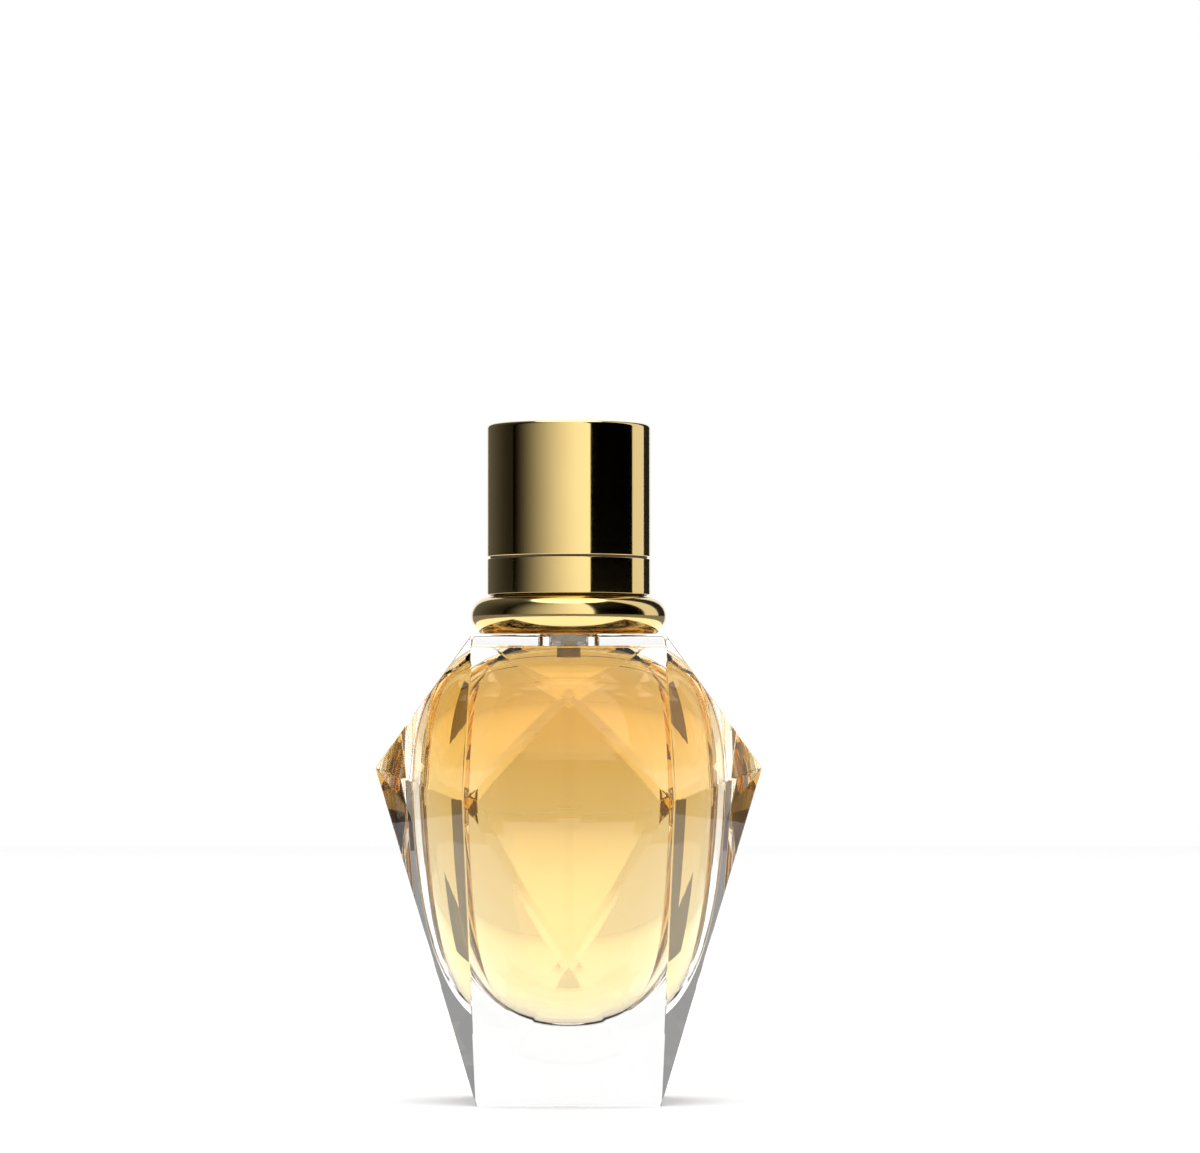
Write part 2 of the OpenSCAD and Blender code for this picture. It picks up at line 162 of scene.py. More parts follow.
class Graph:
    """A material's or a world's node tree."""

    def __init__(self, tree: bpy.types.NodeTree) -> None:
        """Empties the tree.

        Args:
            tree: The node tree to fill.
        """
        self.tree = tree
        tree.nodes.clear()

    def node(self, kind: str, settings: Optional[dict] = None,
             values: Optional[dict] = None) -> Node:
        """Adds a node.

        Args:
            kind: The node's type.
            settings: The node's own settings.
            values: Input sockets, by name or number, and their values or links.

        Returns:
            The node.
        """
        made = self.tree.nodes.new(kind)
        for name, setting in (settings or {}).items():
            setattr(made, name, setting)
        for name, value in (values or {}).items():
            if isinstance(value, Value):
                self.tree.links.new(value.socket, made.inputs[name])
            else:
                made.inputs[name].default_value = value
        return Node(self, made)

    def coordinates(self) -> Value:
        """Returns the Object coordinates."""
        return self.node("ShaderNodeTexCoord").out("Object")

    def mapped(self, scale: Sequence[float] = (1, 1, 1)) -> Value:
        """Returns the Object coordinates, scaled along each axis."""
        values = {"Vector": self.coordinates(), "Scale": tuple(scale)}
        return self.node("ShaderNodeMapping", None, values).out()

    def noise(self, scale: float, vector: Optional[Value] = None, detail: float = 3.0,
              roughness: float = 0.55) -> Value:
        """Returns a noise texture's factor.

        Args:
            scale: Cells per metre.
            vector: The coordinates; the Object coordinates if left out.
            detail: The noise's detail.
            roughness: The noise's roughness.

        Returns:
            The factor, about 0 to 1.
        """
        values = {"Vector": vector or self.coordinates(), "Scale": scale, "Detail": detail,
                  "Roughness": roughness}
        return self.node("ShaderNodeTexNoise", None, values).out("Fac")

    def mix(self, factor: Union[Value, float], first: Union[Value, Colour],
            second: Union[Value, Colour]) -> Value:
        """Mixes two colours.

        Args:
            factor: How much of the second colour there is.
            first: The first colour.
            second: The second colour.

        Returns:
            The mixed colour.
        """
        values = {"Factor": factor, "A": self._colour(first), "B": self._colour(second)}
        mixed = self.tree.nodes.new("ShaderNodeMix")
        mixed.data_type = "RGBA"
        ends = {"Factor": mixed.inputs[0], "A": mixed.inputs[6], "B": mixed.inputs[7]}
        for name, value in values.items():
            if isinstance(value, Value):
                self.tree.links.new(value.socket, ends[name])
            else:
                ends[name].default_value = value
        return Value(self, mixed.outputs[2])

    @staticmethod
    def _colour(value: Union[Value, Colour]) -> Union[Value, tuple]:
        """Returns a colour with its alpha, or the link as it is."""
        return value if isinstance(value, Value) else (*value, 1.0)

    def bump(self, height: Value, strength: float, distance: float) -> Value:
        """Returns a Bump node's normal.

        Args:
            height: The height map.
            strength: The bump's strength.
            distance: The height of one unit, in metres.

        Returns:
            The normal.
        """
        values = {"Height": height, "Strength": strength, "Distance": distance}
        return self.node("ShaderNodeBump", None, values).out("Normal")

    def axis_part(self, axis: Axis) -> Value:
        """Returns one of the Object coordinates' parts, in metres."""
        split = self.node("ShaderNodeSeparateXYZ", None, {"Vector": self.coordinates()})
        return split.out(axis.value)

    def surface(self, values: dict, volume: Optional[Value] = None) -> None:
        """Adds a Principled BSDF and the material's output.

        Args:
            values: The shader's input sockets.
            volume: The volume shader, if the piece has one.
        """
        shader = self.node("ShaderNodeBsdfPrincipled", None, values).out("BSDF")
        ends = {"Surface": shader}
        if volume is not None:
            ends["Volume"] = volume
        self.node("ShaderNodeOutputMaterial", None, ends)


# ---------------------------------------------------------------------------
# Finishes
# ---------------------------------------------------------------------------


@dataclass(frozen=True)
class Finish:
    """A material that is made once and shared."""

    name: str

    def make(self) -> bpy.types.Material:
        """Returns the material, which is made at its first use."""
        found = bpy.data.materials.get(self.name)
        if found is not None:
            return found
        material = bpy.data.materials.new(self.name)
        material.use_nodes = True
        self.fill(Graph(material.node_tree))
        return material

    def fill(self, graph: Graph) -> None:
        """Fills the material's node tree.

        Args:
            graph: The tree to fill.
        """
        raise NotImplementedError


@dataclass(frozen=True)
class CutGlass(Finish):
    """Clear pressed and polished glass with a faint waviness."""

    tint: Colour = (0.992, 0.996, 0.992)
    ior: float = 1.51
    wave_per_m: float = 90.0
    wave_height: float = 0.00002

    def fill(self, graph: Graph) -> None:
        """Fills the tree with clear glass.

        Args:
            graph: The tree to fill.
        """
        wave = graph.noise(self.wave_per_m, detail=1.0)
        tint = graph.mix(wave, self.tint, (1.0, 1.0, 1.0))
        graph.surface({
            "Base Color": tint, "Roughness": 0.0, "IOR": self.ior,
            "Transmission Weight": 1.0,
            "Normal": graph.bump(wave, 0.25, self.wave_height),
        })


@dataclass(frozen=True)
class AmberPerfume(Finish):
    """Amber perfume whose base colour darkens from near white at the foot to deep amber at the
    shoulder: painted shade over the liquid's own amber absorption.
    """

    # top: the painted shade's colour at the shoulder; foot: near white, where no shade is painted.
    top: Colour = (0.84, 0.60, 0.25)
    foot: Colour = (1.0, 0.98, 0.93)
    painted_shade_full_z: float = 0.066
    painted_shade_start_z: float = 0.028
    absorbed: Colour = (0.96, 0.80, 0.30)
    density: float = 80.0
    ior: float = 1.361

    def fill(self, graph: Graph) -> None:
        """Fills the tree with amber liquid whose base colour carries painted shade towards the
        shoulder.

        Args:
            graph: The tree to fill.
        """
        # Painted shade: the base colour deepens with height, from near white at the foot to amber
        # at the shoulder.
        height = graph.axis_part(Axis.Z)
        drift = graph.noise(60.0, detail=1.0) * 0.004
        depth = (height + drift).ramp(self.painted_shade_start_z, self.painted_shade_full_z)
        tint = graph.mix(depth, self.foot, self.top)
        volume = graph.node("ShaderNodeVolumeAbsorption", None, {
            "Color": (*self.absorbed, 1.0), "Density": self.density}).out("Volume")
        graph.surface({
            "Base Color": tint, "Roughness": 0.0, "IOR": self.ior,
            "Transmission Weight": 1.0,
        }, volume)


@dataclass(frozen=True)
class GoldMetal(Finish):
    """Anodised aluminium: lacquered gold over fine turning lines."""

    base: Colour = (0.87, 0.65, 0.27)
    deep: Colour = (0.83, 0.60, 0.24)
    roughness: float = 0.075
    lines_per_m: float = 9000.0

    def fill(self, graph: Graph) -> None:
        """Fills the tree with gold metal.

        Args:
            graph: The tree to fill.
        """
        lines = graph.noise(1.0, graph.mapped((40.0, 40.0, self.lines_per_m)), detail=2.0)
        cloud = graph.noise(140.0, detail=2.0)
        rough = lines * 0.03 + cloud * 0.02 + (self.roughness - 0.025)
        graph.surface({
            "Base Color": graph.mix(cloud, self.deep, self.base),
            "Metallic": 1.0, "Roughness": rough,
            "Coat Weight": 0.15, "Coat Roughness": 0.05, "Coat IOR": 1.5,
            "Normal": graph.bump(lines, 0.06, 0.000002),
        })


@dataclass(frozen=True)
class BareMetal(Finish):
    """Uncoated metal with a grain."""

    base: Colour = (0.72, 0.73, 0.75)
    roughness: float = 0.25
    grain: Sequence[float] = (800.0, 800.0, 800.0)

    def fill(self, graph: Graph) -> None:
        """Fills the tree with bare metal.

        Args:
            graph: The tree to fill.
        """
        grain = graph.noise(1.0, graph.mapped(self.grain), detail=3.0)
        dark = tuple(part * 0.8 for part in self.base)
        graph.surface({
            "Base Color": graph.mix(grain, dark, self.base),
            "Metallic": 1.0, "Roughness": grain * 0.18 + (self.roughness - 0.09),
            "Normal": graph.bump(grain, 0.2, 0.00001),
        })


@dataclass(frozen=True)
class MouldedPlastic(Finish):
    """Injection-moulded plastic with a fine satin grain."""

    base: Colour = (0.86, 0.86, 0.83)
    roughness: float = 0.35
    inner_glow: float = 0.0
    metallic: float = 0.0

    def fill(self, graph: Graph) -> None:
        """Fills the tree with moulded plastic.

        Args:
            graph: The tree to fill.
        """
        cloud = graph.noise(220.0, detail=2.0)
        grain = graph.noise(5200.0, detail=2.0)
        dull = tuple(part * 0.93 for part in self.base)
        graph.surface({
            "Base Color": graph.mix(cloud, dull, self.base),
            "Roughness": grain * 0.12 + (self.roughness - 0.06),
            "Metallic": self.metallic, "IOR": 1.48,
            "Subsurface Weight": self.inner_glow, "Subsurface Scale": 0.001,
            "Subsurface Radius": (1.0, 0.9, 0.8),
            "Normal": graph.bump(grain, 0.12, 0.00001),
        })


@dataclass(frozen=True)
class ClearTube(Finish):
    """Tube whose plastic bends light as the perfume does, so that it hardly shows."""

    base: Colour = (0.96, 0.94, 0.88)
    opacity: float = 0.004

    def fill(self, graph: Graph) -> None:
        """Fills the tree with near-invisible plastic.

        Args:
            graph: The tree to fill.
        """
        streaks = graph.noise(1.0, graph.mapped((900.0, 900.0, 60.0)), detail=2.0)
        graph.surface({
            "Base Color": graph.mix(streaks, (0.9, 0.88, 0.8), self.base),
            "Roughness": streaks * 0.1 + 0.15, "IOR": 1.38,
            "Alpha": streaks * 0.01 + self.opacity,
        })


@dataclass(frozen=True)
class SealRubber(Finish):
    """Matte elastomer with a dusty bloom."""

    base: Colour = (0.035, 0.035, 0.037)

    def fill(self, graph: Graph) -> None:
        """Fills the tree with rubber.

        Args:
            graph: The tree to fill.
        """
        bloom = graph.noise(900.0, detail=4.0)
        graph.surface({
            "Base Color": graph.mix(bloom.ramp(0.4, 0.8), self.base, (0.11, 0.11, 0.11)),
            "Roughness": bloom * 0.25 + 0.55,
            "Normal": graph.bump(bloom, 0.3, 0.00002),
        })


@dataclass(frozen=True)
class PaleFloor(Finish):
    """White paper sweep."""

    base: Colour = (0.93, 0.93, 0.93)

    def fill(self, graph: Graph) -> None:
        """Fills the tree with matte white.

        Args:
            graph: The tree to fill.
        """
        graph.surface({"Base Color": (*self.base, 1.0), "Roughness": 0.9,
                       "Specular IOR Level": 0.1})


@dataclass(frozen=True)
class ScreenLight(Finish):
    """White glow of a studio screen, even or fading from one bearing to another.

    Bearings are in degrees from the camera's side, and grow towards the right.
    """

    start: float = 0.0
    end: float = 90.0
    start_level: float = 1.0
    end_level: float = 1.0

    def fill(self, graph: Graph) -> None:
        """Fills the tree with a neutral glow.

        Args:
            graph: The tree to fill.
        """
        x, y = graph.axis_part(Axis.X), graph.axis_part(Axis.Y)
        bearing = graph.node("ShaderNodeMath", {"operation": "ARCTAN2"}, {0: x, 1: 0.0 - y}).out()
        share = bearing.ramp(math.radians(self.start), math.radians(self.end))
        level = graph.mix(share, (self.start_level,) * 3, (self.end_level,) * 3)
        glow = graph.node("ShaderNodeEmission", None, {"Color": level, "Strength": 1.0})
        graph.node("ShaderNodeOutputMaterial", None, {"Surface": glow.out("Emission")})


CUT_GLASS = CutGlass("cut_glass")
PERFUME = AmberPerfume("amber_perfume")
CAP_GOLD = GoldMetal("satin_gold")
COLLAR_GOLD = GoldMetal("collar_gold", roughness=0.12)
GOLD_PLASTIC = MouldedPlastic("gold_tinted_plastic", (0.55, 0.37, 0.13), 0.3, metallic=0.5)
WHITE_PLASTIC = MouldedPlastic("white_plastic", (0.86, 0.86, 0.83), 0.38, inner_glow=0.1)
DARK_PLASTIC = MouldedPlastic("dark_plastic", (0.035, 0.031, 0.027), 0.36)
MILKY_PLASTIC = MouldedPlastic("milky_plastic", (0.95, 0.9, 0.74), 0.3, inner_glow=0.6)
TUBE_PLASTIC = ClearTube("clear_tube")
RUBBER = SealRubber("seal_rubber")
DRAWN_ALUMINIUM = BareMetal("drawn_aluminium", (0.78, 0.79, 0.8), 0.3, (200.0, 200.0, 4000.0))
TURNED_STEEL = BareMetal("turned_steel", (0.55, 0.56, 0.58), 0.35, (120.0, 120.0, 7000.0))
BRIGHT_STEEL = BareMetal("bright_steel", (0.68, 0.69, 0.71), 0.2, (900.0, 900.0, 900.0))


# ---------------------------------------------------------------------------
# Mesh shop
# ---------------------------------------------------------------------------


@dataclass
class Edge:
    """A corner of a turned profile."""

    r: float
    z: float
    round: float = 0.0


def span(node: str) -> tuple[Vector, Vector]:
    """Returns a CAD node's lowest and highest corners, in millimetres."""
    low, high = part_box(node)
    return Vector(low) / MM, Vector(high) / MM


def place(name: str, mesh: bmesh.types.BMesh, body: str, nodes: Iterable[str],
          finish: Finish, flat: Optional[Callable[[bmesh.types.BMFace], bool]] = None,
          ) -> bpy.types.Object:
    """Makes a finished piece of a bmesh that is in metres and in place.

    Args:
        name: The piece's name.
        mesh: The shape; it is freed.
        body: The body that the piece rides on.
        nodes: The CAD nodes that the piece stands for.
        finish: The piece's finish.
        flat: Says which faces are shaded flat; none if left out.

    Returns:
        The piece.
    """
    for face in mesh.faces:
        face.smooth = not (flat and flat(face))
    data = bpy.data.meshes.new(name)
    mesh.to_mesh(data)
    mesh.free()
    data.materials.append(finish.make())
    piece = bpy.data.objects.new(name, data)
    bpy.context.scene.collection.objects.link(piece)
    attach(piece, body)
    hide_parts(*nodes)
    log.info("%s: %d faces on %s", name, len(data.polygons), body)
    return piece


def even_normals(piece: bpy.types.Object) -> None:
    """Keeps a turned piece's flats flat beside its rounded edges."""
    weighted = piece.modifiers.new("even_normals", "WEIGHTED_NORMAL")
    weighted.weight = 80
    weighted.keep_sharp = False


def turned(profile: Sequence[Edge], steps: int = SPIN_STEPS,
           segments: int = 4) -> bmesh.types.BMesh:
    """Spins a profile round the Z axis and rounds its corners.

    Args:
        profile: The corners in order, in millimetres. A profile that starts and ends on the
            axis is left open there; any other is closed.
        steps: The number of steps round the axis.
        segments: The number of segments in each rounded corner.

    Returns:
        The solid, in metres.
    """
    mesh = bmesh.new()
    points = [mesh.verts.new((edge.r * MM, 0.0, edge.z * MM)) for edge in profile]
    open_ends = profile[0].r == 0 and profile[-1].r == 0
    pairs = list(zip(points, points[1:]))
    if not open_ends:
        pairs.append((points[-1], points[0]))
    for first, second in pairs:
        mesh.edges.new((first, second))
    bmesh.ops.spin(mesh, geom=mesh.verts[:] + mesh.edges[:], cent=(0, 0, 0), axis=(0, 0, 1),
                   angle=FULL_TURN, steps=steps, use_merge=True)
    bmesh.ops.remove_doubles(mesh, verts=mesh.verts[:], dist=MERGE)
    bmesh.ops.recalc_face_normals(mesh, faces=mesh.faces[:])
    for edge in profile:
        if edge.round > 0:
            round_ring(mesh, edge, segments)
    return mesh


def round_ring(mesh: bmesh.types.BMesh, corner: Edge, segments: int) -> None:
    """Rounds one ring of edges of a turned solid.

    Args:
        mesh: The solid.
        corner: The ring's place and its rounding.
        segments: The number of segments.
    """
    def on_ring(vert: bmesh.types.BMVert) -> bool:
        """Says whether a vertex lies on the ring."""
        radius = math.hypot(vert.co.x, vert.co.y)
        return abs(radius - corner.r * MM) < 1e-6 and abs(vert.co.z - corner.z * MM) < 1e-6

    ring = [edge for edge in mesh.edges if all(on_ring(vert) for vert in edge.verts)]
    bmesh.ops.bevel(mesh, geom=ring, offset=corner.round * MM, segments=segments, profile=0.5,
                    affect="EDGES", material=-1)


def tilt_to_front(mesh: bmesh.types.BMesh, height: float) -> None:
    """Turns a solid from the Z axis to face the front, at a height in millimetres."""
    turn = Matrix.Translation((0, 0, height * MM)) @ Matrix.Rotation(math.pi / 2, 4, "X")
    bmesh.ops.transform(mesh, matrix=turn, verts=mesh.verts[:])


class Cut(Enum):
    """What a tool does to a solid."""

    ADD = "UNION"
    TAKE = "DIFFERENCE"


def combine(solid: bmesh.types.BMesh, tools: Sequence[tuple[Cut, bmesh.types.BMesh]],
            ) -> bmesh.types.BMesh:
    """Adds and takes away solids.

    Args:
        solid: The solid to work on; it is freed.
        tools: The tools in order, with what each does; they are freed.

    Returns:
        The result.
    """
    def temporary(mesh: bmesh.types.BMesh) -> bpy.types.Object:
        """Makes an object of a bmesh for the time of the work."""
        data = bpy.data.meshes.new("work")
        mesh.to_mesh(data)
        mesh.free()
        made = bpy.data.objects.new("work", data)
        bpy.context.scene.collection.objects.link(made)
        return made

    work = temporary(solid)
    helpers = []
    for cut, tool in tools:
        helper = temporary(tool)
        helpers.append(helper)
        step = work.modifiers.new("step", "BOOLEAN")
        step.operation = cut.value
        step.solver = "EXACT"
        step.object = helper
    done = work.evaluated_get(bpy.context.evaluated_depsgraph_get())
    result = bmesh.new()
    result.from_mesh(done.to_mesh())
    done.to_mesh_clear()
    for thing in [work, *helpers]:
        data = thing.data
        bpy.data.objects.remove(thing)
        bpy.data.meshes.remove(data)
    bmesh.ops.remove_doubles(result, verts=result.verts[:], dist=MERGE)
    return result


# ---------------------------------------------------------------------------
# Camera and studio
# ---------------------------------------------------------------------------


@dataclass
class ProductCamera:
    """A long lens in front of the bottle, a little above its middle."""

    lens: float = 168.0
    sensor: float = 36.0
    distance: float = 840.0
    height: float = 48.75
    tilt_up: float = 2.03
    turn_right: float = 0.32

    def build(self) -> None:
        """Makes the camera and hands it to the scene."""
        data = bpy.data.cameras.new("product_camera")
        data.lens = self.lens
        data.sensor_width = self.sensor
        data.clip_start = 0.05
        data.clip_end = 30.0
        camera = bpy.data.objects.new("product_camera", data)
        camera.location = (0.0, -self.distance * MM, self.height * MM)
        camera.rotation_euler = (
            math.radians(90 + self.tilt_up), 0.0, math.radians(-self.turn_right))
        bpy.context.scene.collection.objects.link(camera)
        bpy.context.scene.camera = camera
        log.info("camera: %.0f mm lens at %.0f mm", self.lens, self.distance)


@dataclass
class Screen:
    """An upright white, grey or black screen that bends round the bottle.

    Only the bottle's reflections and refractions see it. Its heights are in millimetres.
    """

    name: str
    start: float
    end: float
    foot: float
    head: float
    start_level: float
    end_level: float
    radius: float = 420.0
    steps: int = 24

    def build(self) -> None:
        """Spins the screen's upright edge and hides the screen from the camera, from diffuse light
        and from shadows.
        """
        mesh = bmesh.new()
        ends = [mesh.verts.new((0, -self.radius * MM, z * MM)) for z in (self.foot, self.head)]
        mesh.edges.new(ends)
        turn = Matrix.Rotation(math.radians(self.start), 3, "Z")
        bmesh.ops.rotate(mesh, verts=mesh.verts[:], cent=(0, 0, 0), matrix=turn)
        bmesh.ops.spin(mesh, geom=mesh.verts[:] + mesh.edges[:], cent=(0, 0, 0), axis=(0, 0, 1),
                       angle=math.radians(self.end - self.start), steps=self.steps)
        data = bpy.data.meshes.new(self.name)
        mesh.to_mesh(data)
        mesh.free()
        light = ScreenLight(f"{self.name}_light", self.start, self.end,
                            self.start_level, self.end_level)
        data.materials.append(light.make())
        piece = bpy.data.objects.new(self.name, data)
        bpy.context.scene.collection.objects.link(piece)
        piece.visible_camera = False
        piece.visible_diffuse = False
        piece.visible_shadow = False


@dataclass
class Studio:
    """White surroundings, a pale floor, a soft lamp and neutral screens.

    The back stays open, so that the glass is lit from behind by the white surroundings.
    """

    sky: float = 1.0
    floor_size: float = 6.0
    seam: float = 80.0
    top: float = 1000.0

    def screens(self) -> list[Screen]:
        """Returns the screens: soft lights at the cap's height, with dark gaps between."""
        return [
            Screen("left_gap", -157, -84, self.seam, self.top, 0.12, 0.02),
            Screen("main_light", -84, 30, self.seam, self.top, 0.0, 1.3),
            Screen("right_gap", 30, 100, self.seam, self.top, 0.0, 0.0),
            Screen("strip_light", 100, 130, self.seam, self.top, 0.9, 0.9),
            Screen("right_back_gap", 130, 157, self.seam, self.top, 0.02, 0.02),
            Screen("left_low", -157, -70, -10.0, self.seam, 0.25, 0.25),
            Screen("front_low", -70, 70, -10.0, self.seam, 0.2, 0.2),
            Screen("right_low", 70, 157, -10.0, self.seam, 0.25, 0.25),
        ]

    def build(self) -> None:
        """Makes the world, the floor, the lamp and the screens."""
        scene = bpy.context.scene
        world = bpy.data.worlds.new("white_studio")
        scene.world = world
        world.use_nodes = True
        graph = Graph(world.node_tree)
        light = graph.node("ShaderNodeBackground", None, {
            "Color": (1.0, 1.0, 1.0, 1.0), "Strength": self.sky}).out("Background")
        graph.node("ShaderNodeOutputWorld", None, {"Surface": light})
        scene.view_settings.view_transform = "Standard"
        scene.cycles.max_bounces = 28
        scene.cycles.transmission_bounces = 28
        scene.cycles.glossy_bounces = 16
        scene.cycles.transparent_max_bounces = 16

        floor = bmesh.new()
        bmesh.ops.create_grid(floor, x_segments=2, y_segments=2, size=self.floor_size / 2)
        data = bpy.data.meshes.new("floor")
        floor.to_mesh(data)
        floor.free()
        data.materials.append(PaleFloor("pale_floor").make())
        sweep = bpy.data.objects.new("floor", data)
        scene.collection.objects.link(sweep)
        self._lamp("over_lamp", (0.0, -0.1, 1.4), (0.0, 0.0, 0.0), 2.4, 20.0)
        screens = self.screens()
        for screen in screens:
            screen.build()
        log.info("studio: %d screens", len(screens))

    @staticmethod
    def _lamp(name: str, at: Sequence[float], aim: Sequence[float], size: float,
              power: float) -> None:
        """Hangs a square soft light.

        Args:
            name: The lamp's name.
            at: Where it hangs, in metres.
            aim: The point that it faces.
            size: Its side, in metres.
            power: Its power, in watts.
        """
        data = bpy.data.lights.new(name, "AREA")
        data.size = size
        data.energy = power
        lamp = bpy.data.objects.new(name, data)
        lamp.location = at
        lamp.rotation_euler = (Vector(aim) - Vector(at)).to_track_quat("-Z", "Y").to_euler()
        bpy.context.scene.collection.objects.link(lamp)


# ---------------------------------------------------------------------------
# Glass and perfume
# ---------------------------------------------------------------------------


@dataclass
class Cavity:
    """The rounded egg inside the glass, in millimetres."""

    half_x: float
    half_y: float
    top: float
    foot: float
    widest: float
    power: float = 2.5
    sides: int = 128
    rings: int = 80

    def shape(self, grow: float) -> bmesh.types.BMesh:
        """Returns the egg, larger by a margin all round.

        Args:
            grow: The margin, in millimetres.

        Returns:
            The egg, in metres.
        """
        mesh = bmesh.new()
        bmesh.ops.create_uvsphere(mesh, u_segments=self.sides, v_segments=self.rings, radius=1.0)
        for vert in mesh.verts:
            flat = math.hypot(vert.co.x, vert.co.y)
            x, y = (vert.co.x / flat, vert.co.y / flat) if flat > MERGE else (0.0, 0.0)
            half = (self.top - self.widest if vert.co.z > 0 else self.widest - self.foot) + grow
            vert.co = Vector((
                (self.half_x + grow) * self._full(flat) * self._full(x),
                (self.half_y + grow) * self._full(flat) * self._full(y),
                self.widest + half * self._full(vert.co.z),
            )) * MM
        return mesh

    def _full(self, share: float) -> float:
        """Returns a sine or cosine drawn out to the egg's fuller corners."""
        return math.copysign(abs(share) ** (2 / self.power), share)


@dataclass
class GlassBottle:
    """The faceted glass with its neck and the perfume in it, in millimetres."""

    table_w: float = 28.4
    foot_w: float = 27.2
    kite_top_drop: float = 9.9
    point_drop: float = 19.7
    kite_side_drop: float = 24.8
    kite_foot: float = 20.6
    kite_w: float = 31.2
    roof: float = 2.0
    cavity_mid_drop: float = 20.5
    band_h: float = 1.95
    band_set: float = 0.15
    arris: float = 0.16
    neck_r: float = 6.6
    bead_r: float = 7.4
    bead_h: float = 3.8
    bore_r: float = 4.6
    punt_r: float = 9.5
    punt_h: float = 1.0
    wall_gap: float = 0.05
    overlap: float = 0.02
    cavity: Cavity = field(init=False)

    def __post_init__(self) -> None:
        """Reads the CAD's sizes."""
        low, high = span("glass_bottle")
        self.half_w, self.half_d, self.lip = high.x, high.y, high.z
        self.table = span("collar_ring")[0].z
        fill_low, fill_high = span("perfume")
        self.level = fill_high.z
        self.cavity = Cavity(half_x=fill_high.x + self.wall_gap, half_y=fill_high.y + self.wall_gap,
                             top=self.table - self.roof, foot=fill_low.z - self.wall_gap,
                             widest=self.table - self.cavity_mid_drop)

    def build(self) -> None:
        """Builds and places the glass and the perfume."""
        glass = combine(self._gem(), [
            (Cut.ADD, self._neck()),
            (Cut.TAKE, self.cavity.shape(0.0)),
            (Cut.TAKE, self._rod(self.bore_r, self.cavity.widest, self.lip + 5)),
            (Cut.TAKE, self._punt()),
        ])

        def is_facet(face: bmesh.types.BMFace) -> bool:
            """Says whether a face is one of the polished flats."""
            return face.calc_area() > 3e-6

        place("bottle_glass", glass, "bottle", ["glass_bottle"], CUT_GLASS, is_facet)
        place("perfume_fill", self._perfume(), "bottle", ["perfume"], PERFUME)

    def _gem(self) -> bmesh.types.BMesh:
        """Returns the cut body: the hull of its corners, with softened arrises."""
        mesh = bmesh.new()
        corners = [(0.0, side * self.half_d, z) for side in (-1, 1)
                   for z in (self.table - self.kite_top_drop, self.kite_foot)]
        corners += [(side * self.half_w, 0.0, self.table - self.point_drop) for side in (-1, 1)]
        for x in (-0.5, 0.5):
            for y in (-1, 1):
                corners.append((x * self.table_w, y * self.table_w / 2, self.table))
                corners.append((x * self.foot_w, y * self.foot_w / 2, 0.0))
                corners.append((x * self.kite_w, y * self.half_d, self.table - self.kite_side_drop))
        for corner in corners:
            mesh.verts.new(Vector(corner) * MM)
        bmesh.ops.convex_hull(mesh, input=mesh.verts[:])
        bmesh.ops.dissolve_limit(mesh, angle_limit=math.radians(0.5), verts=mesh.verts[:],
                                 edges=mesh.edges[:])
        mesh = combine(mesh, [(Cut.TAKE, self._band_cutter(side)) for side in (-1, 1)])
        bmesh.ops.dissolve_limit(mesh, angle_limit=math.radians(0.5), verts=mesh.verts[:],
                                 edges=mesh.edges[:])
        bmesh.ops.recalc_face_normals(mesh, faces=mesh.faces[:])
        bmesh.ops.bevel(mesh, geom=mesh.edges[:], offset=self.arris * MM, segments=2, profile=0.5,
                        affect="EDGES", material=-1, clamp_overlap=True)
        return mesh

    def _band_cutter(self, side: int) -> bmesh.types.BMesh:
        """Returns the block that cuts the upright band on one side of the table."""
        depth = self.half_d
        face = self.table_w / 2 - self.band_set
        mesh = bmesh.new()
        bmesh.ops.create_cube(mesh, size=1.0)
        scale = Matrix.Diagonal((self.half_w * 4 * MM, depth * MM, (self.band_h + 2) * MM, 1))
        move = Matrix.Translation(Vector((
            0, side * (face + depth / 2), self.table - self.band_h + (self.band_h + 2) / 2)) * MM)
        bmesh.ops.transform(mesh, matrix=move @ scale, verts=mesh.verts[:])
        return mesh

    def _neck(self) -> bmesh.types.BMesh:
        """Returns the neck with its crimping bead."""
        under = self.lip - self.bead_h
        return turned([
            Edge(0, self.table - 1), Edge(self.neck_r, self.table - 1),
            Edge(self.neck_r, under - self.bead_r + self.neck_r, 0.15),
            Edge(self.bead_r, under, 0.3), Edge(self.bead_r, self.lip, 0.5), Edge(0, self.lip)])

    def _rod(self, radius: float, low: float, high: float) -> bmesh.types.BMesh:
        """Returns a rod on the axis, from one height to another."""
        return turned([Edge(0, low), Edge(radius, low), Edge(radius, high), Edge(0, high)], 96)

    def _punt(self) -> bmesh.types.BMesh:
        """Returns the shallow dome that hollows the foot."""
        radius = (self.punt_r ** 2 + self.punt_h ** 2) / (2 * self.punt_h)
        mesh = bmesh.new()
        bmesh.ops.create_icosphere(mesh, subdivisions=6, radius=radius * MM)
        drop = Matrix.Translation((0, 0, (self.punt_h - radius) * MM))
        bmesh.ops.transform(mesh, matrix=drop, verts=mesh.verts[:])
        return mesh

    def _perfume(self) -> bmesh.types.BMesh:
        """Returns the perfume, which reaches a hair into the glass so that no air shows."""
        fill = self.cavity.shape(self.overlap)
        above = bmesh.ops.bisect_plane(
            fill, geom=fill.verts[:] + fill.edges[:] + fill.faces[:], dist=MERGE,
            plane_co=(0, 0, self.level * MM), plane_no=(0, 0, 1), clear_outer=True)
        rim = [item for item in above["geom_cut"] if isinstance(item, bmesh.types.BMEdge)]
        bmesh.ops.contextual_create(fill, geom=rim)
        bmesh.ops.recalc_face_normals(fill, faces=fill.faces[:])
        return fill


# ---------------------------------------------------------------------------
# Collar, actuator and cap
# ---------------------------------------------------------------------------


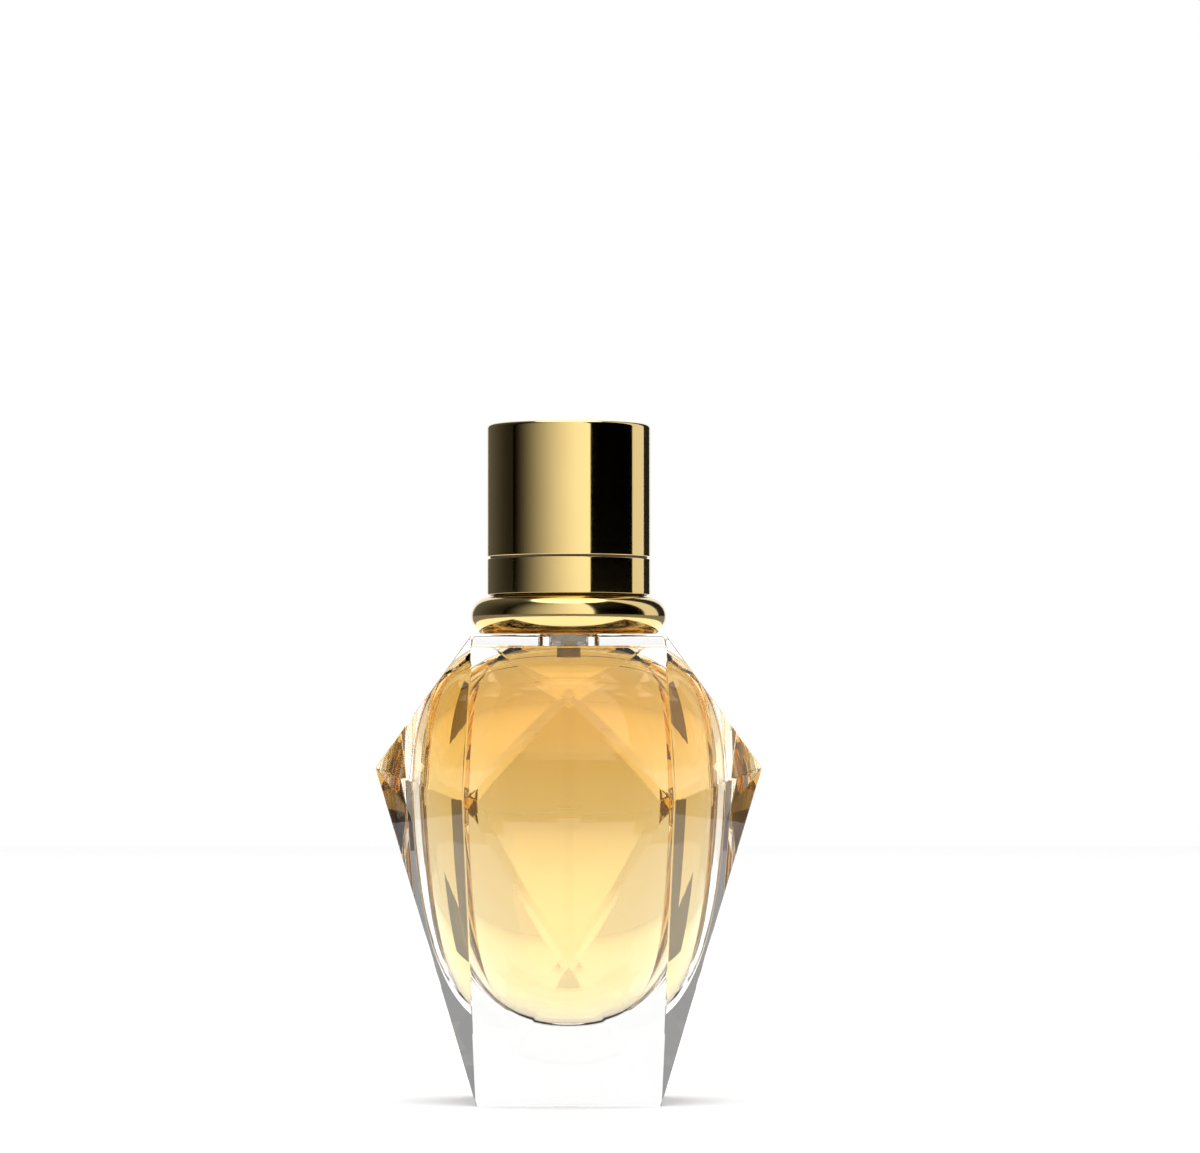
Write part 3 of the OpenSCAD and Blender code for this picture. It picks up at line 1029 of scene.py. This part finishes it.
@dataclass
class Collar:
    """The rounded ring, the plain band and the moulded carrier, in millimetres."""

    sheet: float = 0.5
    land_inner: float = 9.65
    lip_round: float = 0.12
    ring_inner: float = 9.35
    ring_fullness: float = 0.98
    carrier_inner: float = 7.9
    carrier_r: float = 9.3
    chimney_r: float = 9.6
    chimney_wall: float = 1.4
    hook: float = 0.8
    hook_h: float = 0.6

    def build(self) -> None:
        """Builds and places the collar's pieces."""
        low, high = span("collar_ring")
        bulge = (high.z - low.z) / 2 * self.ring_fullness
        ring = turned([
            Edge(self.ring_inner, low.z), Edge(high.x, low.z, bulge),
            Edge(high.x, high.z, bulge), Edge(self.ring_inner, high.z, self.lip_round)],
            segments=14)
        even_normals(place("rounded_ring", ring, "bottle", ["collar_ring"],
                           COLLAR_GOLD))
        low, high = span("collar_band")
        r = high.x
        band = turned([
            Edge(r - self.sheet, low.z), Edge(r, low.z, self.lip_round),
            Edge(r, high.z, self.lip_round), Edge(self.land_inner, high.z),
            Edge(self.land_inner, high.z - self.sheet), Edge(r - self.sheet, high.z - self.sheet)])
        even_normals(place("plain_band", band, "bottle", ["collar_band"],
                           CAP_GOLD))
        self._carrier()

    def _carrier(self) -> None:
        """Builds the moulded carrier, which ends in the chimney."""
        low, high = span("collar_carrier")
        ring_top = span("collar_ring")[1].z
        band_low, band_high = (corner.z for corner in span("collar_band"))
        crimp = span("ferrule")[1].z
        inner, foot, flange = self.carrier_inner, self.carrier_r, high.x
        chimney, bore = self.chimney_r, self.chimney_r - self.chimney_wall
        hook, catch = inner - self.hook, crimp + self.hook_h
        carrier = turned([
            Edge(inner, low.z), Edge(foot, low.z), Edge(foot, ring_top), Edge(flange, ring_top),
            Edge(flange, band_low), Edge(foot, band_low), Edge(foot, band_high),
            Edge(chimney, band_high), Edge(chimney, high.z, 0.4),
            Edge(bore, high.z, 0.25), Edge(bore, catch, 0.2),
            Edge(hook, catch, 0.15), Edge(hook, crimp), Edge(inner, crimp)])
        even_normals(place("collar_carrier_moulding", carrier, "bottle", ["collar_carrier"],
                           GOLD_PLASTIC))


@dataclass
class Actuator:
    """The button: a moulded core in a drawn metal sleeve, in millimetres."""

    sheet: float = 0.4
    nozzle_hole: float = 1.85
    rim: float = 1.1
    rim_slope: float = 0.5
    dish: float = 0.21

    def build(self) -> None:
        """Builds and places the sleeve; the core and the nozzle keep their CAD shapes."""
        low, high = span("actuator_sleeve")
        r = high.x
        nozzle_low, nozzle_high = span("nozzle_insert")
        middle = (nozzle_low.z + nozzle_high.z) / 2
        sleeve = turned([
            Edge(0, high.z - self.sheet), Edge(r - self.sheet, high.z - self.sheet),
            Edge(r - self.sheet, low.z), Edge(r, low.z, 0.12), Edge(r, high.z, 0.6),
            Edge(r - self.rim, high.z, 0.3),
            Edge(r - self.rim - self.rim_slope, high.z - self.dish, 0.3),
            Edge(0, high.z - self.dish)])
        hole = turned([Edge(0, 0), Edge(self.nozzle_hole, 0), Edge(self.nozzle_hole, 2 * r),
                       Edge(0, 2 * r)], 64)
        tilt_to_front(hole, middle)
        sleeve = combine(sleeve, [(Cut.TAKE, hole)])
        even_normals(place("button_sleeve", sleeve, "actuator", ["actuator_sleeve"],
                           CAP_GOLD))


@dataclass
class Cap:
    """The pull-off cap: a drawn shell over a moulded cup, in millimetres."""

    sheet: float = 0.5
    top_round: float = 0.6
    lip_round: float = 0.12

    def build(self) -> None:
        """Builds and places the shell; the cup keeps its CAD shape."""
        low, high = span("cap_shell")
        r, t = high.x, self.sheet
        shell = turned([
            Edge(0, high.z - t), Edge(r - t, high.z - t), Edge(r - t, low.z),
            Edge(r, low.z, self.lip_round), Edge(r, high.z, self.top_round), Edge(0, high.z)],
            segments=6)
        even_normals(place("gold_cap", shell, "cap", ["cap_shell"], CAP_GOLD))


@dataclass
class InnerWorks:
    """The pieces whose CAD shapes stay, each with its finish."""

    finishes: dict[str, Finish] = field(default_factory=lambda: {
        "neck_gasket": RUBBER, "stem_seal": RUBBER, "ferrule": DRAWN_ALUMINIUM,
        "pump_housing": MILKY_PLASTIC, "stem_guide": WHITE_PLASTIC, "piston": WHITE_PLASTIC,
        "stem": WHITE_PLASTIC, "ball_cage": WHITE_PLASTIC, "dip_tube": TUBE_PLASTIC,
        "return_spring": BRIGHT_STEEL, "inlet_ball": BRIGHT_STEEL, "actuator_core": WHITE_PLASTIC,
        "nozzle_insert": WHITE_PLASTIC, "cap_liner": DARK_PLASTIC, "cap_weight": TURNED_STEEL,
        "cap_grip_ring": BRIGHT_STEEL,
    })

    def dress(self) -> None:
        """Gives each CAD node its finish."""
        for name, finish in self.finishes.items():
            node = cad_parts[name]
            for slot in node.material_slots:
                slot.material = finish.make()
            log.info("%s: %s", name, finish.name)


def main() -> None:
    """Builds the camera, the studio and every piece, in order."""
    logging.basicConfig(level=logging.INFO, format="%(name)s: %(message)s")
    ProductCamera().build()
    Studio().build()
    GlassBottle().build()
    Collar().build()
    Actuator().build()
    Cap().build()
    InnerWorks().dress()


if __name__ == "__main__":
    main()
